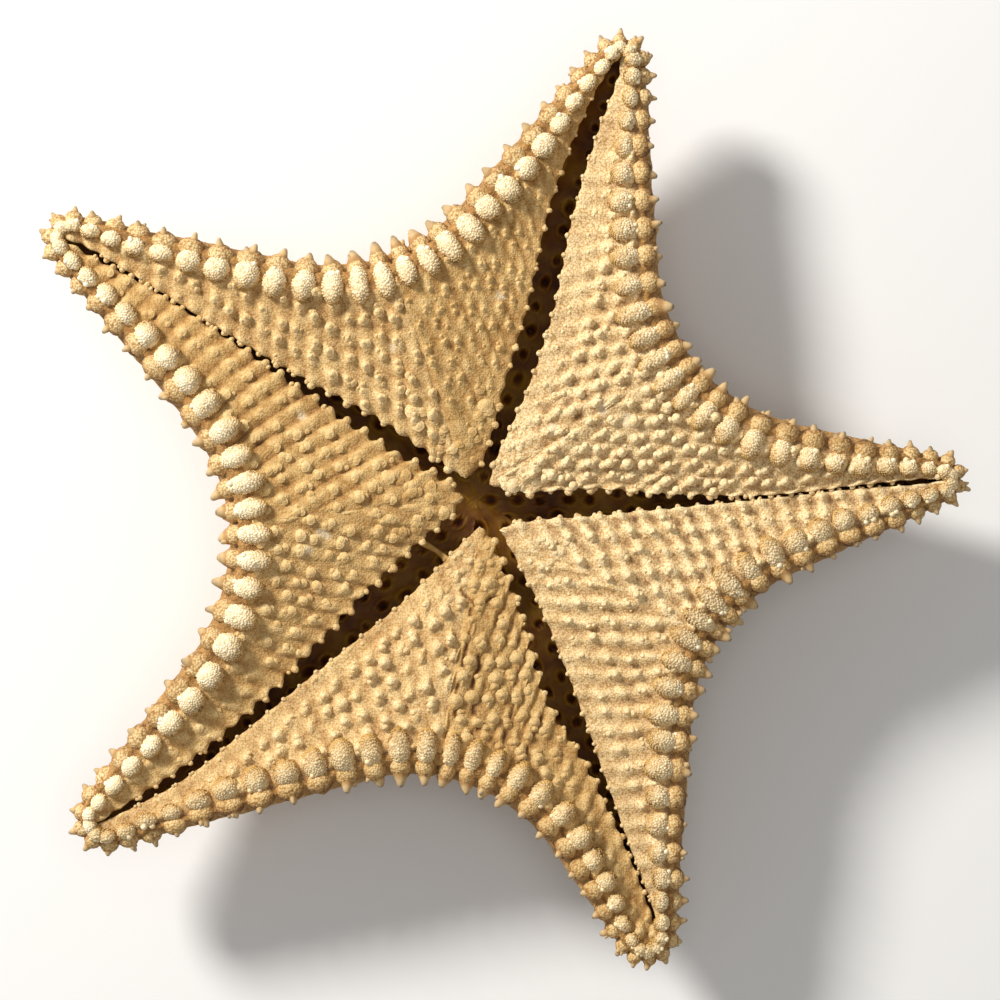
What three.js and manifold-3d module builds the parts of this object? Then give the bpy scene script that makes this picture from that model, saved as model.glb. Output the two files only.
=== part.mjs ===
// A dried cushion sea star lying on its back: one hollow skeleton, mouth side up. Millimetres, +Z up.
//
// The skeleton is a thin shell. Its upper (oral) side is five webs, each pointing at the mouth, parted by five
// arm grooves that have opened right through the wall. Its lower (aboral) side is a low dome with a keel along
// each arm. It rests on six worn tubercles of that dome. The origin is the disc centre on the resting plane.
import * as THREE from 'three';
import { mergeVertices } from 'three/addons/utils/BufferGeometryUtils.js';
import Module from 'manifold-3d';

// Arms, counter-clockwise. The rounded tip of an arm is a circle: angle and reach place its centre, tip is its
// radius. sag is how far the tip hangs below the crest. The groove follows the arm: bend is how far its middle
// lies to the counter-clockwise side of the arm's axis and gap is half its width, both at GROOVE_STATIONS.
const ARMS = [
  { angle: 71.9, reach: 112.5, tip: 6.1, sag: 4, end: 0.6,
    bend: [0.3, -0.3, 0.0, 2.3, 2.5, 1.1], gap: [1.6, 3.1, 3.5, 3.3, 2.7, 1.8] },
  { angle: 147.4, reach: 118.1, tip: 6.1, sag: 5, end: 0.8,
    bend: [-1.0, -1.0, -0.6, -0.7, -0.7, 0.2], gap: [2.2, 3.1, 1.8, 0.7, 0.5, 1.0] },
  { angle: 220.6, reach: 119.9, tip: 7.2, sag: 5, end: -0.8,
    bend: [1.8, 2.8, 3.6, 4.2, 3.6, 0.6], gap: [4.0, 4.4, 3.0, 1.9, 1.6, 0.7] },
  { angle: 291.3, reach: 114.1, tip: 7.0, sag: 6, end: 1.6,
    bend: [0.8, 1.9, 1.2, 2.7, 3.3, 3.0], gap: [1.9, 3.0, 4.0, 1.9, 0.6, 0.5] },
  { angle: 2.5, reach: 113.0, tip: 5.5, sag: 3, end: 0.0,
    bend: [-2.1, -1.7, -2.3, -2.3, -0.9, -0.2], gap: [4.0, 3.5, 1.8, 0.5, 0.5, 0.7] },
];
const GROOVE_STATIONS = [0.08, 0.25, 0.42, 0.6, 0.78, 0.92];

// Bays, each between an arm and the next one. The margin of a bay is an arc of this radius whose deepest point
// lies at depth from the centre. apex is the point of the web at the mouth.
const BAYS = [
  { angle: 109.9, depth: 64.3, radius: 43.6, apex: [-2.9, 5.3] },
  { angle: 185.4, depth: 61.6, radius: 47.1, apex: [-3.4, 0.5] },
  { angle: 261.5, depth: 68.7, radius: 42.4, apex: [0.5, -6.5] },
  { angle: 329.2, depth: 68.2, radius: 42.2, apex: [5.3, -7.4] },
  { angle: 34.9, depth: 63.3, radius: 43.5, apex: [2.9, 3.8] },
];

const CREST = 39.0;          // height of the marginal rim above the resting plane
const MOUTH_DIP = 7.0;       // how far the web points lie below the rim
const LIP_DIP = 0.5;         // the same at an arm's tip
const WEB_BULGE = 1.5;       // each web is slightly domed along its middle
const POLE = 2.5;            // height of the dome's centre, where the tubercles hold it up
const KEEL_RISE = 22.0;      // rise of the keel from the centre to an arm's tip
const KEEL_POWER = 2.2;
const DOME_POWER = 1.25;     // roundness of the dome's section
const WALL = 3.2;            // wall of the disc, and how much thinner it is at the tips
const WALL_TAPER = 1.0;
const RIM_WIDTH = 6.5;       // rim, from the row of lower marginal plates out to the margin, and at the tips
const TIP_RIM_WIDTH = 2.2;
const RIM_DROP = 9.5;        // rim, from its crest down to the widest line, and at the tips
const TIP_RIM_DROP = 5.0;
const GROOVE_END = 3.4;      // solid skeleton between the end of a groove and the arm's tip
const PLATES = 14;           // marginal plates on each side of an arm
const PLATE_SWELL = 0.8;     // how far the middle of a plate stands out
const PLATE_TAPER = 0.1;     // plates are widest halfway along an arm and narrowest at its tip
const PLATE_SPREAD = 0.2;
const RIB_LEAN = 0.5;        // ribs reach the groove further out along the arm than the margin
const FOOT_RING = 20.0;      // ring of five worn tubercles on the dome
const FOOT_TOP = 2.2;
const FOOT_BASE = 4.2;
const FOOT_ROOT = 1.6;       // how deep a tubercle is rooted in the wall
const FOOT_SIDES = 12;
const COLOUR = 0xcdb083;

const radians = (degrees) => degrees * Math.PI / 180;
const mix = (a, b, t) => a + (b - a) * t;
const skew = (t, amount) => t * (1 + amount * (1 - t));
const wrap = (angle) => Math.atan2(Math.sin(angle), Math.cos(angle));

function polar(angle, radius) {
  return new THREE.Vector2(radius * Math.cos(angle), radius * Math.sin(angle));
}

// Half of a bay's margin, from its deepest point to the arm's tip: an arc round the bay, a straight flank and an
// arc round the tip. side is +1 for the arm counter-clockwise of the bay and -1 for the other one.
function marginOf(arm, bay, side) {
  const tip = polar(radians(arm.angle), arm.reach);
  const hollow = polar(radians(bay.angle), bay.depth + bay.radius);
  const across = hollow.clone().sub(tip);
  const lean = side * Math.acos((arm.tip + bay.radius) / across.length());
  const facing = across.angle() + lean;
  const start = radians(bay.angle) + Math.PI;
  const bayTurn = wrap(facing + Math.PI - start);
  const tipTurn = wrap(radians(arm.angle) - facing);
  const flankStart = hollow.clone().add(polar(facing + Math.PI, bay.radius));
  const flankEnd = tip.clone().add(polar(facing, arm.tip));
  const bayLength = bay.radius * Math.abs(bayTurn);
  const flankLength = flankStart.distanceTo(flankEnd);
  const tipLength = arm.tip * Math.abs(tipTurn);
  const total = bayLength + flankLength + tipLength;
  return (fraction) => {
    const run = fraction * total;
    if (run < bayLength) {
      const angle = start + bayTurn * run / bayLength;
      return { point: hollow.clone().add(polar(angle, bay.radius)), inward: polar(angle, 1) };
    }
    if (run < bayLength + flankLength) {
      const along = (run - bayLength) / flankLength;
      return { point: flankStart.clone().lerp(flankEnd, along), inward: polar(facing + Math.PI, 1) };
    }
    const angle = facing + tipTurn * (run - bayLength - flankLength) / tipLength;
    return { point: tip.clone().add(polar(angle, arm.tip)), inward: polar(angle + Math.PI, 1) };
  };
}

// Smooth curve through the points (xs, ys), read at x.
function curveThrough(xs, ys, x) {
  const last = xs.length - 1;
  let i = 0;
  while (i < last - 1 && x > xs[i + 1]) {
    i += 1;
  }
  const slopeAt = (k) => {
    const before = Math.max(k - 1, 0);
    const after = Math.min(k + 1, last);
    return (ys[after] - ys[before]) / (xs[after] - xs[before]);
  };
  const width = xs[i + 1] - xs[i];
  const t = (x - xs[i]) / width;
  const rise = t * t * (3 - 2 * t);
  const bow = slopeAt(i) * t * (1 - t) ** 2 - slopeAt(i + 1) * t * t * (1 - t);
  return mix(ys[i], ys[i + 1], rise) + width * bow;
}

// The web's edge along a groove, from the mouth to the groove's end, as a point for each fraction of its length.
function grooveEdgeOf(arm, bay, side) {
  const axis = polar(radians(arm.angle), 1);
  const across = polar(radians(arm.angle) + Math.PI / 2, 1);
  const apex = new THREE.Vector2(...bay.apex);
  const length = arm.reach + arm.tip;
  const end = length - GROOVE_END;
  const xs = [apex.dot(axis), ...GROOVE_STATIONS.map((station) => station * length), end];
  const edges = arm.bend.map((bend, i) => bend - side * arm.gap[i]);
  const ys = [apex.dot(across), ...edges, arm.end];
  return (fraction) => {
    const run = mix(xs[0], end, fraction);
    const offset = curveThrough(xs, ys, run);
    return axis.clone().multiplyScalar(run).addScaledVector(across, offset);
  };
}

// One half of a web with the rim and the dome below it. u runs from the middle of the bay (0) to the arm's tip (1).
// Every function gives a point of the outer skin, or of the inner skin when inset is 1.
function halfWeb(arm, bay, side) {
  const margin = marginOf(arm, bay, side);
  const edge = grooveEdgeOf(arm, bay, side);
  const axis = polar(radians(arm.angle), 1);

  function section(u, inset) {
    const spread = PLATE_SPREAD * Math.sin(2 * Math.PI * u) / (2 * Math.PI);
    const run = skew(u - spread, PLATE_TAPER);
    const out = skew(run, RIB_LEAN);
    const wall = inset * (WALL - WALL_TAPER * out);
    const rimWidth = mix(RIM_WIDTH, TIP_RIM_WIDTH, out);
    const crest = CREST - arm.sag * out * out;
    const { point, inward } = margin(run);
    const keelRun = arm.reach * out;
    const keelHeight = POLE + KEEL_RISE * (keelRun / arm.reach) ** KEEL_POWER;
    return {
      u,
      edge: edge(out),
      edgeHeight: crest - MOUTH_DIP * (1 - out) - LIP_DIP - wall,
      crest: crest - wall,
      ridge: point.clone().addScaledVector(inward, rimWidth + inset * mix(1, 0.6, out)),
      margin: point.clone().addScaledVector(inward, wall),
      inward,
      waist: crest - mix(RIM_DROP, TIP_RIM_DROP, out),
      keel: axis.clone().multiplyScalar(keelRun),
      keelHeight: keelHeight + wall,
    };
  }

  function web(u, inset, t) {
    const s = section(u, inset);
    const spot = s.edge.clone().lerp(s.ridge, t);
    const bulge = WEB_BULGE * Math.sin(Math.PI * t) * (1 - u) ** 2;
    return new THREE.Vector3(spot.x, spot.y, mix(s.edgeHeight, s.crest, t ** 1.4) + bulge);
  }

  function rim(u, inset, t, swell) {
    const s = section(u, inset);
    const turn = t * Math.PI / 2;
    const spot = s.ridge.clone().lerp(s.margin, Math.sin(turn)).addScaledVector(s.inward, -swell * Math.sin(turn));
    const height = mix(s.waist, s.crest, Math.cos(turn)) + swell * Math.cos(turn);
    return new THREE.Vector3(spot.x, spot.y, height);
  }

  function dome(u, inset, t) {
    const s = section(u, inset);
    const turn = t * Math.PI / 2;
    const spot = s.keel.clone().lerp(s.margin, Math.cos(turn) ** DOME_POWER);
    const height = mix(s.waist, s.keelHeight, Math.sin(turn) ** DOME_POWER);
    return new THREE.Vector3(spot.x, spot.y, height);
  }

  return { web, rim, dome };
}

// Points of one meridian of the outer skin: groove edge, web, rim, dome, keel. swell lifts the rim at a plate.
function outerMeridian(half, u, swell) {
  return [
    half.web(u, 0, 0),
    half.web(u, 0, 0.35),
    half.web(u, 0, 0.7),
    half.rim(u, 0, 0, swell),
    half.rim(u, 0, 0.4, swell),
    half.rim(u, 0, 0.7, swell),
    half.rim(u, 0, 1, swell),
    half.dome(u, 0, 0.25),
    half.dome(u, 0, 0.5),
    half.dome(u, 0, 0.75),
    half.dome(u, 0, 1),
  ];
}

function innerMeridian(half, u) {
  return [
    half.web(u, 1, 0),
    half.web(u, 1, 0.5),
    half.rim(u, 1, 0, 0),
    half.rim(u, 1, 0.6, 0),
    half.rim(u, 1, 1, 0),
    half.dome(u, 1, 0.33),
    half.dome(u, 1, 0.67),
    half.dome(u, 1, 1),
  ];
}

function addTriangle(triangles, a, b, c, flip) {
  const corners = flip ? [a, c, b] : [a, b, c];
  for (const corner of corners) {
    triangles.push(corner.x, corner.y, corner.z);
  }
}

function addSheet(triangles, meridians, flip) {
  for (let i = 0; i + 1 < meridians.length; i += 1) {
    for (let j = 0; j + 1 < meridians[i].length; j += 1) {
      const a = meridians[i][j];
      const b = meridians[i][j + 1];
      const c = meridians[i + 1][j + 1];
      const d = meridians[i + 1][j];
      addTriangle(triangles, a, b, c, flip);
      addTriangle(triangles, a, c, d, flip);
    }
  }
}

// The cut face of the wall along a groove, between the edges of the outer and the inner skin.
function addCutFace(triangles, outer, inner, flip) {
  for (let i = 0; i + 1 < inner.length; i += 1) {
    const [a, b, c] = [outer[2 * i][0], outer[2 * i + 1][0], outer[2 * i + 2][0]];
    const [d, e] = [inner[i][0], inner[i + 1][0]];
    addTriangle(triangles, a, b, d, flip);
    addTriangle(triangles, b, e, d, flip);
    addTriangle(triangles, b, c, e, flip);
  }
}

function addHalfWeb(triangles, arm, bay, side) {
  const half = halfWeb(arm, bay, side);
  const steps = 2 * PLATES;
  const outer = [];
  const inner = [];
  for (let i = 0; i <= steps; i += 1) {
    const swell = i % 2 === 1 ? PLATE_SWELL : 0;
    outer.push(outerMeridian(half, i / steps, swell));
    if (i % 2 === 0) {
      inner.push(innerMeridian(half, i / steps));
    }
  }
  const mirrored = side < 0;
  addSheet(triangles, outer, mirrored);
  addSheet(triangles, inner, !mirrored);
  addCutFace(triangles, outer, inner, mirrored);
}

function shellGeometry() {
  const triangles = [];
  BAYS.forEach((bay, k) => {
    addHalfWeb(triangles, ARMS[k], bay, -1);
    addHalfWeb(triangles, ARMS[(k + 1) % ARMS.length], bay, 1);
  });
  const geometry = new THREE.BufferGeometry();
  geometry.setAttribute('position', new THREE.Float32BufferAttribute(triangles, 3));
  return geometry;
}

// A worn tubercle: a short cone standing on its flat top, from the resting plane up into the dome's wall.
function footGeometry(angle, radius) {
  const root = POLE + KEEL_RISE * (radius / ARMS[0].reach) ** KEEL_POWER + FOOT_ROOT;
  const profile = [[0, 0], [FOOT_TOP, 0], [FOOT_BASE, root], [0, root]];
  const points = profile.map(([x, y]) => new THREE.Vector2(x, y));
  const spot = polar(angle, radius);
  const geometry = new THREE.LatheGeometry(points, FOOT_SIDES);
  geometry.rotateX(Math.PI / 2);
  geometry.translate(spot.x, spot.y, 0);
  return geometry;
}

const wasm = await Module();
wasm.setup();

function toSolid(geometry) {
  const bare = geometry.index ? geometry.toNonIndexed() : geometry.clone();
  bare.deleteAttribute('normal');
  bare.deleteAttribute('uv');
  const merged = mergeVertices(bare, 1e-3);
  const vertProperties = new Float32Array(merged.attributes.position.array);
  const corners = merged.index.array;
  const kept = [];
  for (let i = 0; i < corners.length; i += 3) {
    const [a, b, c] = [corners[i], corners[i + 1], corners[i + 2]];
    if (a !== b && b !== c && c !== a) {
      kept.push(a, b, c);
    }
  }
  return new wasm.Manifold(new wasm.Mesh({ numProp: 3, vertProperties, triVerts: new Uint32Array(kept) }));
}

function toGeometry(solid) {
  const mesh = solid.getMesh();
  const geometry = new THREE.BufferGeometry();
  geometry.setAttribute('position', new THREE.BufferAttribute(mesh.vertProperties, 3));
  geometry.setIndex(new THREE.BufferAttribute(mesh.triVerts, 1));
  geometry.computeVertexNormals();
  return geometry;
}

function starfishSolid() {
  let body = toSolid(shellGeometry());
  body = body.add(toSolid(footGeometry(0, 0)));
  for (const arm of ARMS) {
    body = body.add(toSolid(footGeometry(radians(arm.angle), FOOT_RING)));
  }
  return body;
}

const skeleton = new THREE.MeshStandardMaterial({ color: COLOUR, roughness: 0.85, metalness: 0 });
const starfish = new THREE.Mesh(toGeometry(starfishSolid()), skeleton);
starfish.name = 'starfish';

const model = new THREE.Group();
model.add(starfish);

export default model;
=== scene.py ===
"""The looks of a dried cushion sea star lying on its back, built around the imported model.

The skeleton is one shell. Its skin is made here in sheets that meet in natural furrows: five webs round
the mouth, the flanks with the dome below, and the inside. Plates, beads, teeth, spines and other small things
are joined meshes.
Lengths are millimetres until new_mesh() turns them into metres.
"""
import math

import bpy
import numpy as np
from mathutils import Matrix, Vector


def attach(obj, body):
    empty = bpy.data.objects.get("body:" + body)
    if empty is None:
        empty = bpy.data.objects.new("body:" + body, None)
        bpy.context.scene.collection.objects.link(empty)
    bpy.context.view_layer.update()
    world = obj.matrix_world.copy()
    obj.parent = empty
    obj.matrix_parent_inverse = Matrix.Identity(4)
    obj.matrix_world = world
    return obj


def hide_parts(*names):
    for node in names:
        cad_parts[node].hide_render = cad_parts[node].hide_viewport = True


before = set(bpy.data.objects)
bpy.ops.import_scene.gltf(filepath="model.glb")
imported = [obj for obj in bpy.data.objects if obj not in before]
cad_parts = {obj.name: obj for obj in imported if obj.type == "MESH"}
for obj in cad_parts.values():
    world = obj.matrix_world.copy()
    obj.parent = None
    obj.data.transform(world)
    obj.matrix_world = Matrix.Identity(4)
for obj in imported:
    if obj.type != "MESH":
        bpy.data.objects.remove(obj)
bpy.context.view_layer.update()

MM = 0.001
NODE = "starfish"
BODY = "root"

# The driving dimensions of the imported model, which the skin follows.
ARMS = [
    dict(angle=71.9, reach=112.5, tip=6.1, sag=4, end=0.6,
         bend=(0.3, -0.3, 0.0, 2.3, 2.5, 1.1), gap=(1.6, 3.1, 3.5, 3.3, 2.7, 1.8)),
    dict(angle=147.4, reach=118.1, tip=6.1, sag=5, end=0.8,
         bend=(-1.0, -1.0, -0.6, -0.7, -0.7, 0.2), gap=(2.2, 3.1, 1.8, 0.7, 0.5, 1.0)),
    dict(angle=220.6, reach=119.9, tip=7.2, sag=5, end=-0.8,
         bend=(1.8, 2.8, 3.6, 4.2, 3.6, 0.6), gap=(4.0, 4.4, 3.0, 1.9, 1.6, 0.7)),
    dict(angle=291.3, reach=114.1, tip=7.0, sag=6, end=1.6,
         bend=(0.8, 1.9, 1.2, 2.7, 3.3, 3.0), gap=(1.9, 3.0, 4.0, 1.9, 0.6, 0.5)),
    dict(angle=2.5, reach=113.0, tip=5.5, sag=3, end=0.0,
         bend=(-2.1, -1.7, -2.3, -2.3, -0.9, -0.2), gap=(4.0, 3.5, 1.8, 0.5, 0.5, 0.7)),
]
GROOVE_STATIONS = (0.08, 0.25, 0.42, 0.6, 0.78, 0.92)
BAYS = [
    dict(angle=109.9, depth=64.3, radius=43.6, apex=(-2.9, 5.3)),
    dict(angle=185.4, depth=61.6, radius=47.1, apex=(-3.4, 0.5)),
    dict(angle=261.5, depth=68.7, radius=42.4, apex=(0.5, -6.5)),
    dict(angle=329.2, depth=68.2, radius=42.2, apex=(5.3, -7.4)),
    dict(angle=34.9, depth=63.3, radius=43.5, apex=(2.9, 3.8)),
]
CREST = 39.0
MOUTH_DIP = 7.0
LIP_DIP = 0.5
POLE = 2.5
KEEL_RISE = 22.0
KEEL_POWER = 2.2
DOME_POWER = 1.25
WALL = 3.2
WALL_TAPER = 1.0
RIM_WIDTH, TIP_RIM_WIDTH = 6.5, 2.2
RIM_DROP, TIP_RIM_DROP = 9.5, 5.0
GROOVE_END = 3.4
PLATES = 14
PLATE_TAPER = 0.1
PLATE_SPREAD = 0.2
RIB_LEAN = 0.5
FOOT_RING = 20.0

WEB_STEP = 0.52        # spacing of the points of a web
RIB_PITCH = 4.9        # ribs and teeth along a groove
ROW_PITCH = 5.3        # mounds along a rib
RIDGE = 1.2            # the middle of a web stands this far above a straight line from mouth to margin

# How each half of a web looks, by the web and the side of its middle.
#   lead: share of the groove whose ribs end at the middle of the web; bow: how far ribs bend to the mouth
#   mound, rib, row, scale, furrow, tooth: heights; bare: width of the smooth strip beside the groove
#   pearls: tubercles on a mound; pearl: their radius; low: their height for it; pale: how cream the web is
# pale is partly painted light: higher on the halves that face the key light, lower on those in shade.
PLAIN = dict(lead=0.15, bow=0.05, mound=0.6, rib=0.1, row=0.0, scale=0.0, furrow=0.0, tooth=0.5, bare=0.0,
             pearls=1.5, pearl=0.7, low=0.8, pale=0.3)
LOOKS = {
    (0, -1): dict(PLAIN, lead=0.05, mound=0.5, scale=0.1, bare=3.0, pearls=2.2, pearl=0.75),
    (0, 1): dict(PLAIN, lead=0.17, mound=1.4, rib=0.2, pearls=2.2, pearl=0.95, tooth=0.9, pale=0.5),
    (1, -1): dict(PLAIN, lead=0.2, mound=0.65, rib=0.15, scale=0.22, furrow=0.2, pearls=2.4, pearl=1.05,
                  low=0.3, tooth=1.9),
    (1, 1): dict(PLAIN, lead=0.15, mound=0.75, scale=0.1, pearls=2.4, pearl=1.05, low=0.32, tooth=1.4,
                 pale=0.35),
    (2, -1): dict(PLAIN, lead=0.22, mound=1.9, rib=0.2, bare=4.0, pearls=1.8, pearl=1.1, low=0.6, tooth=0.3,
                  pale=0.6),
    (2, 1): dict(PLAIN, lead=0.16, mound=1.0, rib=0.0, scale=0.08, furrow=0.18, pearls=2.2, pearl=1.25,
                 low=0.35, tooth=1.6),
    (3, -1): dict(PLAIN, lead=0.25, mound=1.3, rib=0.45, bare=4.0, pearls=1.6, pearl=0.8, tooth=0.3,
                  pale=0.85),
    (3, 1): dict(PLAIN, lead=0.31, bow=0.08, mound=1.6, rib=0.3, row=0.3, pearls=2.2, pearl=0.85, pale=1.0),
    (4, -1): dict(PLAIN, lead=0.08, bow=0.12, mound=1.9, row=0.1, pearls=2.3, pearl=1.0, tooth=0.9, pale=1.0),
    (4, 1): dict(PLAIN, lead=0.18, mound=1.6, rib=0.2, row=0.25, bare=6.0, pearls=2.2, pearl=0.95, pale=1.0),
}

# The lower marginal plates of each web.
BAND = (6.4, 6.8, 7.7, 7.2, 8.2)              # distance of their middles from the margin
PLATE_PALE = (0.95, 1.0, 0.65, 0.75, 0.78)    # how cream they are, partly painted light: paler on the upper and left webs, which face the key light, darker on the lower webs in shade
PLATE_CHALK_AND_HIGHLIGHT = (0.5, 0.8, 0.3, 0.2, 0.2)       # how white their tops are, partly wear and partly painted highlight, strongest on the upper and left webs, which face the key light

MIDDLE_SHARES = np.linspace(0, 1, 112)        # columns of half a web that end where its halves meet
MARGIN_SHARES = np.linspace(0, 1, 160)        # columns that end at the margin
EDGE_CROWDING = 0.35                          # those columns leave the groove closer together towards the tip
LIP_DROPS = (2.9, 1.5, 0.5)                   # the rows of the cut face lie this far below a groove's edge
LIP_SHARES = (1.0, 0.6, 0.1)                  # and this share of the way back from its teeth
UP = np.array([0.0, 0.0, 1.0])


# ---------------------------------------------------------------- numbers and noise

def mix(a, b, t):
    return a + (b - a) * t


def skew(t, amount):
    return t * (1 + amount * (1 - t))


def smooth(t):
    t = np.clip(t, 0, 1)
    return t * t * (3 - 2 * t)


def wrap(angle):
    return math.atan2(math.sin(angle), math.cos(angle))


def polar(angle, radius=1.0):
    return np.stack([radius * np.cos(angle), radius * np.sin(angle)], -1)


def chance(i, j, seed):
    """A repeatable number from 0 to 1 for each pair of whole numbers."""
    value = np.sin(i * 127.1 + j * 311.7 + seed * 74.7) * 43758.5453
    return value - np.floor(value)


def noise(points, size, seed):
    """Smooth noise from -1 to 1 over points in space, with lumps of this size."""
    q = points / size
    cell = np.floor(q)
    f = smooth(q - cell)
    total = np.zeros(len(points))
    for corner in range(8):
        step = np.array([corner & 1, corner >> 1 & 1, corner >> 2])
        weight = np.prod(np.where(step == 1, f, 1 - f), axis=1)
        c = cell + step
        total += weight * chance(c[:, 0] + 57.3 * c[:, 2], c[:, 1], seed)
    return 2 * total - 1


def curve_through(xs, ys, x):
    """Smooth curve through the points (xs, ys), read at x."""
    xs, ys = np.asarray(xs, float), np.asarray(ys, float)
    i = np.clip(np.searchsorted(xs, x) - 1, 0, len(xs) - 2)
    order = np.arange(len(xs))
    before, after = np.maximum(order - 1, 0), np.minimum(order + 1, len(xs) - 1)
    slope = (ys[after] - ys[before]) / (xs[after] - xs[before])
    width = xs[i + 1] - xs[i]
    t = (x - xs[i]) / width
    bow = slope[i] * t * (1 - t) ** 2 - slope[i + 1] * t * t * (1 - t)
    return mix(ys[i], ys[i + 1], t * t * (3 - 2 * t)) + width * bow


def unit(v):
    return v / np.maximum(np.linalg.norm(v, axis=-1, keepdims=True), 1e-9)


def gather(rows):
    """The columns of a list of rows of arrays, each joined into one array."""
    return [np.concatenate(column) for column in zip(*rows)]


def shaken(points, amount, size, seed):
    """The points moved by up to this amount each way, by smooth noise with lumps of this size."""
    return points + amount * np.column_stack([noise(points, size, seed + axis) for axis in range(3)])


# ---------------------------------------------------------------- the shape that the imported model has

class Half:
    """Half of a web with the rim and dome below it, between the middle of a bay and an arm."""

    def __init__(self, k, side):
        self.k, self.side = k, side
        self.bay = BAYS[k]
        self.arm_index = k if side < 0 else (k + 1) % len(ARMS)
        self.arm = ARMS[self.arm_index]
        self.look = LOOKS[k, side]
        self.axis = polar(math.radians(self.arm["angle"]))
        self.across = np.array([-self.axis[1], self.axis[0]])
        self.place_margin()
        self.place_edge()

    def place_margin(self):
        arm, bay = self.arm, self.bay
        self.tip = self.axis * arm["reach"]
        self.hollow = polar(math.radians(bay["angle"]), bay["depth"] + bay["radius"])
        apart = self.hollow - self.tip
        lean = self.side * math.acos((arm["tip"] + bay["radius"]) / np.linalg.norm(apart))
        self.facing = math.atan2(apart[1], apart[0]) + lean
        self.start = math.radians(bay["angle"]) + math.pi
        self.bay_turn = wrap(self.facing + math.pi - self.start)
        self.tip_turn = wrap(math.radians(arm["angle"]) - self.facing)
        self.flank = (self.hollow + polar(self.facing + math.pi, bay["radius"]),
                      self.tip + polar(self.facing, arm["tip"]))
        self.lengths = (bay["radius"] * abs(self.bay_turn),
                        np.linalg.norm(self.flank[1] - self.flank[0]),
                        arm["tip"] * abs(self.tip_turn))

    def margin(self, run):
        """Points of the margin and the inward directions there, for shares of its length."""
        first, second, third = self.lengths
        s = np.asarray(run, float) * (first + second + third)
        bay_angle = self.start + self.bay_turn * s / first
        tip_angle = self.facing + self.tip_turn * (s - first - second) / third
        along = ((s - first) / second)[:, None]
        in_bay, on_flank = (s < first)[:, None], (s < first + second)[:, None]
        flank_inward = polar(np.full(len(s), self.facing + math.pi))
        point = np.where(in_bay, self.hollow + polar(bay_angle, self.bay["radius"]),
                         np.where(on_flank, mix(self.flank[0], self.flank[1], along),
                                  self.tip + polar(tip_angle, self.arm["tip"])))
        inward = np.where(in_bay, polar(bay_angle), np.where(on_flank, flank_inward, -polar(tip_angle)))
        return point, inward

    def place_edge(self):
        arm, apex = self.arm, np.array(self.bay["apex"])
        length = arm["reach"] + arm["tip"]
        self.end = length - GROOVE_END
        self.edge_xs = [apex @ self.axis, *(s * length for s in GROOVE_STATIONS), self.end]
        edges = [b - self.side * g for b, g in zip(arm["bend"], arm["gap"])]
        self.edge_ys = [apex @ self.across, *edges, arm["end"]]
        self.edge_length = self.end - self.edge_xs[0]

    def edge(self, share):
        """Points of the web's edge along the groove, for shares of its length."""
        along = mix(self.edge_xs[0], self.end, share)
        offset = curve_through(self.edge_xs, self.edge_ys, along)
        return along[:, None] * self.axis + offset[:, None] * self.across

    def crest(self, out):
        return CREST - self.arm["sag"] * out ** 2

    def edge_height(self, out):
        return self.crest(out) - MOUTH_DIP * (1 - out) - LIP_DIP

    def rim(self, run):
        """The rim's main lines for shares of the margin: its ridge, the margin, the waist, the keel."""
        out = skew(run, RIB_LEAN)
        point, inward = self.margin(run)
        wide = mix(RIM_WIDTH, TIP_RIM_WIDTH, out)[:, None]
        keel_height = POLE + KEEL_RISE * out ** KEEL_POWER
        return dict(out=out, margin=point, inward=inward, ridge=point + inward * wide, crest=self.crest(out),
                    waist=self.crest(out) - mix(RIM_DROP, TIP_RIM_DROP, out),
                    keel=(self.arm["reach"] * out)[:, None] * self.axis, keel_height=keel_height,
                    wall=WALL - WALL_TAPER * out)

    def plate_run(self, u):
        """Share of the margin at plate coordinate u, where 1 is all the plates of this half."""
        return skew(u - PLATE_SPREAD * np.sin(2 * np.pi * u) / (2 * np.pi), PLATE_TAPER)


HALVES = {(k, side): Half(k, side) for k in range(len(BAYS)) for side in (-1, 1)}


# ---------------------------------------------------------------- meshes

def new_mesh(name, material, points, triangles, tones):
    """A named piece from millimetre points, riding on the skeleton's body."""
    mesh = bpy.data.meshes.new(name)
    mesh.vertices.add(len(points))
    mesh.vertices.foreach_set("co", (np.asarray(points) * MM).astype(np.float32).ravel())
    triangles = np.asarray(triangles, np.int32)
    mesh.loops.add(triangles.size)
    mesh.loops.foreach_set("vertex_index", triangles.ravel())
    mesh.polygons.add(len(triangles))
    mesh.polygons.foreach_set("loop_start", np.arange(0, triangles.size, 3, dtype=np.int32))
    mesh.polygons.foreach_set("use_smooth", np.ones(len(triangles), bool))
    for key, values in tones.items():
        layer = mesh.attributes.new(key, "FLOAT", "POINT")
        layer.data.foreach_set("value", np.asarray(values, np.float32))
    mesh.update(calc_edges=True)
    mesh.validate()
    mesh.materials.append(material)
    piece = bpy.data.objects.new(name, mesh)
    bpy.context.scene.collection.objects.link(piece)
    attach(piece, BODY)
    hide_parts(NODE)
    return piece


def zip_columns(first_a, a, first_b, b):
    """Triangles between two columns of points whose rows lie at the rising parameters a and b."""
    keys = np.concatenate([a[1:], b[1:]])
    from_b = np.concatenate([np.zeros(len(a) - 1, bool), np.ones(len(b) - 1, bool)])
    from_b = from_b[np.argsort(keys, kind="stable")]
    i = first_a + np.cumsum(~from_b) - ~from_b
    j = first_b + np.cumsum(from_b) - from_b
    third = np.where(from_b, j + 1, i + 1)
    return np.stack([i, third, j], 1)


def sheet_of(columns, flip):
    """Triangles of a sheet of columns, which are arrays of rising parameters. Points go column by column."""
    starts = np.concatenate([[0], np.cumsum([len(c) for c in columns])])
    pairs = zip(starts, columns, starts[1:], columns[1:])
    triangles = np.concatenate([zip_columns(*pair) for pair in pairs])
    return triangles[:, ::-1] if flip else triangles


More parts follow.
